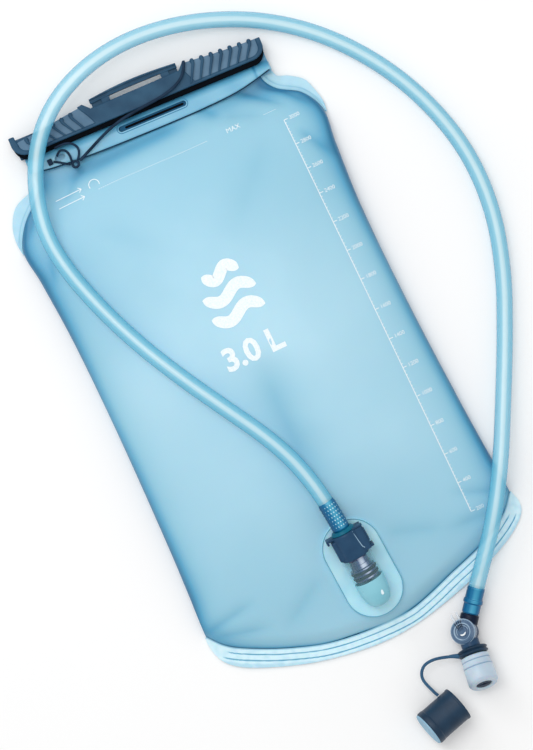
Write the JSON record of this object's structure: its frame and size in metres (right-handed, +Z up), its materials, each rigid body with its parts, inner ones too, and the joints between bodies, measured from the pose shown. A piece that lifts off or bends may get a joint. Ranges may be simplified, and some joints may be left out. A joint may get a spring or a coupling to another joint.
{
  "type": "hydration bladder",
  "caption": "Soft film water reservoir lying flat, with a fold-over slide closure, quick-connect port, long drinking hose, shut-off dial and bite valve with dust cap.",
  "frame": {"origin": "on the ground under the middle of the reservoir and its slider, hose not counted", "axes": "+Z up out of the reservoir's front face, +Y along the reservoir towards its filling mouth, +X to the right"},
  "size_m": [0.2888, 0.4893, 0.0435],
  "materials": {
    "film": "soft clear pale blue polyurethane film",
    "welded_film": "flat welded pale blue film",
    "mouth_film": "doubled pale blue film",
    "rail": "moulded polyurethane",
    "slider_plastic": "moulded dark blue-grey plastic, satin",
    "tether_cord": "dark moulded elastomer",
    "port_clear": "clear pale aqua moulding",
    "seal_rubber": "black seal rubber",
    "poppet_plastic": "clear pale aqua moulding",
    "spring_steel": "stainless spring",
    "plug_plastic": "dark navy moulding",
    "coupling_plastic": "dark slate-blue moulding, satin",
    "collar_plastic": "teal moulding",
    "hose_clear": "clear pale blue polyurethane tube",
    "valve_plastic": "dark navy moulding",
    "dial_clear": "clear moulding with a smoky tint",
    "silicone": "milky translucent silicone",
    "cap_rubber": "dark slate-blue soft moulding"
  },
  "bodies": {
    "reservoir": {"film_front": "film", "film_back": "film", "bottom_weld": "welded_film", "shoulder_weld_left": "welded_film", "shoulder_weld_right": "welded_film", "folded_mouth": "mouth_film", "rail_front": "rail", "rail_back": "rail", "slider_tether": "tether_cord", "tether_eyelet": "tether_cord", "tether_tail_inner": "tether_cord", "tether_tail_outer": "tether_cord", "tether_tail_end": "tether_cord", "tether_stop": "tether_cord", "port_body": "port_clear", "seat_seal": "seal_rubber", "poppet_spring": "spring_steel"},
    "slider": {"slider": "slider_plastic"},
    "poppet": {"poppet": "poppet_plastic"},
    "hose_line": {"plug_stem": "plug_plastic", "plug_ring_front": "seal_rubber", "plug_ring_rear": "seal_rubber", "coupling_housing": "coupling_plastic", "coupling_collar": "collar_plastic", "button_spring": "spring_steel", "hose": "hose_clear", "valve_elbow": "valve_plastic", "rotor_ring": "seal_rubber", "bite_valve": "silicone"},
    "release_button": {"release_button": "coupling_plastic"},
    "dial": {"shutoff_dial": "dial_clear", "shutoff_rotor": "valve_plastic"},
    "dust_cover": {"cap_ring": "cap_rubber", "cap_strap": "cap_rubber", "dust_cap": "cap_rubber"}
  },
  "joints": [
    {"name": "slider_slide", "type": "slide", "parent": "reservoir", "child": "slider", "axis": [-0.9987, 0.0506, 0], "range_m": [0, 0.176], "deforming": ["slider_tether"]},
    {"name": "hose_disconnect", "type": "slide", "parent": "reservoir", "child": "hose_line", "axis": [-0.0516, 0.9841, 0.1702], "range_m": [0, 0.018], "deforming": ["poppet_spring"]},
    {"name": "poppet_slide", "type": "slide", "parent": "reservoir", "child": "poppet", "axis": [-0.0516, 0.9841, 0.1702], "range_m": [0, 0.0008]},
    {"name": "release_button_press", "type": "slide", "parent": "hose_line", "child": "release_button", "axis": [-0.9986, -0.0523, 0], "range_m": [0, 0.0016], "stiffness_N_per_m": 500, "springref_m": -0.001, "deforming": ["button_spring"]},
    {"name": "shutoff_turn", "type": "hinge", "parent": "hose_line", "child": "dial", "pos_m": [0.0423, -0.2116, 0.0087], "axis": [-0.3289, 0.2831, 0.901], "range_deg": [0, 90]},
    {"name": "dust_cover_swivel", "type": "hinge", "parent": "hose_line", "child": "dust_cover", "pos_m": [0.0423, -0.2116, 0.0087], "axis": [0.116, 0.9589, -0.2589], "range_deg": [0, 180]}
  ],
  "couplings": [
    {"joint": "poppet_slide", "follows": "hose_disconnect", "ratio": 0.036}
  ]
}
